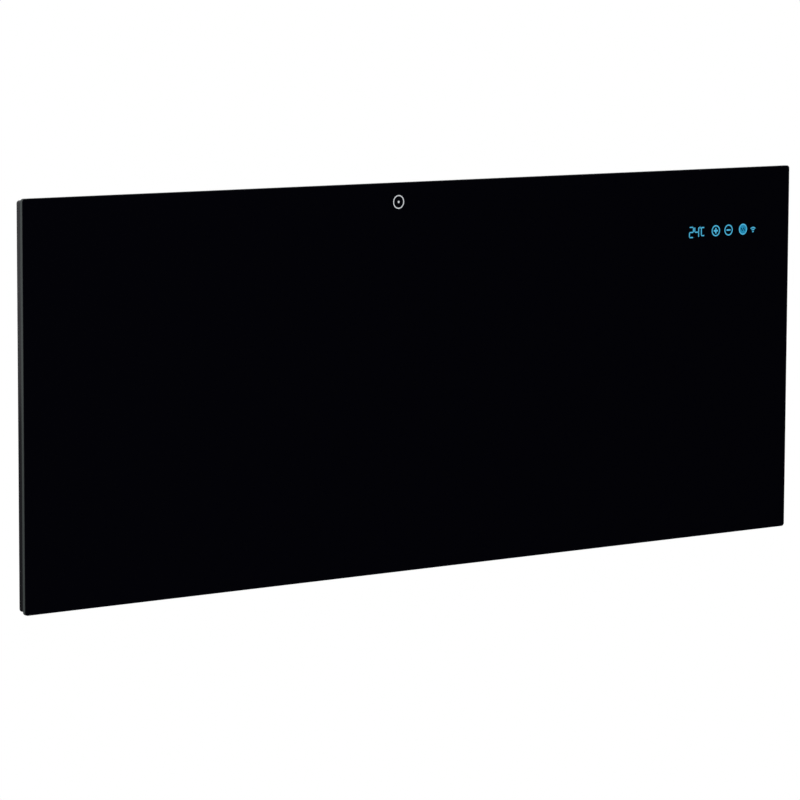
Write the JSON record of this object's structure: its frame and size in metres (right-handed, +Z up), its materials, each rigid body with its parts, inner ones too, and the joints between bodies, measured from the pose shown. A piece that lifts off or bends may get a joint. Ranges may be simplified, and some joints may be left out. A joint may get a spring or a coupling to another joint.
{
  "type": "infrared panel heater",
  "caption": "Wall-hung infrared panel heater: black glass front with lit touch controls on a slim steel tray, lifted off a steel wall bracket.",
  "frame": {"origin": "middle of the four wall screws, on the wall plane", "axes": "+X to the right seen from the front, +Y into the wall, +Z up; the glass faces -Y"},
  "size_m": [1.19, 0.049, 0.48],
  "materials": {
    "black_glass": "gloss, opaque black enamel on the back",
    "silicone": "matte",
    "tray_steel": "fine satin powder coat, dark grey",
    "bracket_steel": "zinc-grey powder coat, satin",
    "zinc": "bright zinc plate",
    "mica": "matte",
    "strip_metal": "satin",
    "tinned": "satin",
    "foil": "bright",
    "mineral_board": "matte",
    "ceramic_body": "matte",
    "lead_sleeve": "matte",
    "circuit_board": "satin",
    "black_plastic": "fine spark texture",
    "switch_black": "semi-gloss",
    "display_face": "matte",
    "ribbon_white": "satin",
    "relay_blue": "satin",
    "core_dark": "varnished",
    "capacitor": "gloss sleeve",
    "fuse_glass": "clear",
    "terminal_green": "satin",
    "gland_grey": "satin nylon",
    "seal_rubber": "matte",
    "sensor_bead": "gloss",
    "bumper_rubber": "matte",
    "lit_sign": "lit evenly from behind",
    "white_sign": "printed enamel"
  },
  "bodies": {
    "wall_bracket": {"upper_rail": "bracket_steel", "lower_rail": "bracket_steel", "upright_left": "bracket_steel", "upright_right": "bracket_steel", "bracket_rivets": "zinc", "latch_pivots": "zinc"},
    "heater": {"front_glass": "black_glass", "glass_bond": "silicone", "rear_tray": "tray_steel", "front_mica_sheet": "mica", "heating_strip": "strip_metal", "element_tabs": "tinned", "element_leads": "lead_sleeve", "rear_mica_sheet": "mica", "reflector_sheet": "foil", "insulation_board": "mineral_board", "thermal_cutouts": "ceramic_body", "earth_stud": "zinc", "touch_board": "circuit_board", "light_guide": "black_plastic", "display_module": "display_face", "wireless_module": "circuit_board", "ribbon_sockets": "ribbon_white", "ribbon_cable": "ribbon_white", "control_box_base": "black_plastic", "control_box_cover": "black_plastic", "cover_screws": "zinc", "power_board": "circuit_board", "board_screws": "zinc", "power_relay": "relay_blue", "supply_transformer": "core_dark", "board_capacitors": "capacitor", "board_fuse": "fuse_glass", "terminal_block": "terminal_green", "gland_body": "gland_grey", "gland_nut": "gland_grey", "gland_seal": "seal_rubber", "gland_locknut": "gland_grey", "room_sensor": "sensor_bead", "sensor_cap": "black_plastic", "switch_housing": "switch_black", "hanger_left": "zinc", "hanger_right": "zinc", "catch_left": "zinc", "catch_right": "zinc", "tray_rivets": "zinc", "bumpers": "bumper_rubber"},
    "turn_latch_left": {"latch_left": "zinc"},
    "turn_latch_right": {"latch_right": "zinc"},
    "switch_rocker": {"master_rocker": "switch_black"}
  },
  "joints": [
    {"name": "lift_off", "type": "slide", "parent": "wall_bracket", "child": "heater", "axis": [0, 0, 1], "range_m": [0, 0.014]},
    {"name": "latch_left_turn", "type": "hinge", "parent": "wall_bracket", "child": "turn_latch_left", "pos_m": [-0.23, -0.0233, -0.196], "axis": [0, -1, 0], "range_deg": [0, 90]},
    {"name": "latch_right_turn", "type": "hinge", "parent": "wall_bracket", "child": "turn_latch_right", "pos_m": [0.23, -0.0233, -0.196], "axis": [0, 1, 0], "range_deg": [0, 90]},
    {"name": "rocker_tilt", "type": "hinge", "parent": "heater", "child": "switch_rocker", "pos_m": [0.436, -0.0189, 0.0762], "axis": [0, 1, 0], "range_deg": [0, 22]}
  ]
}
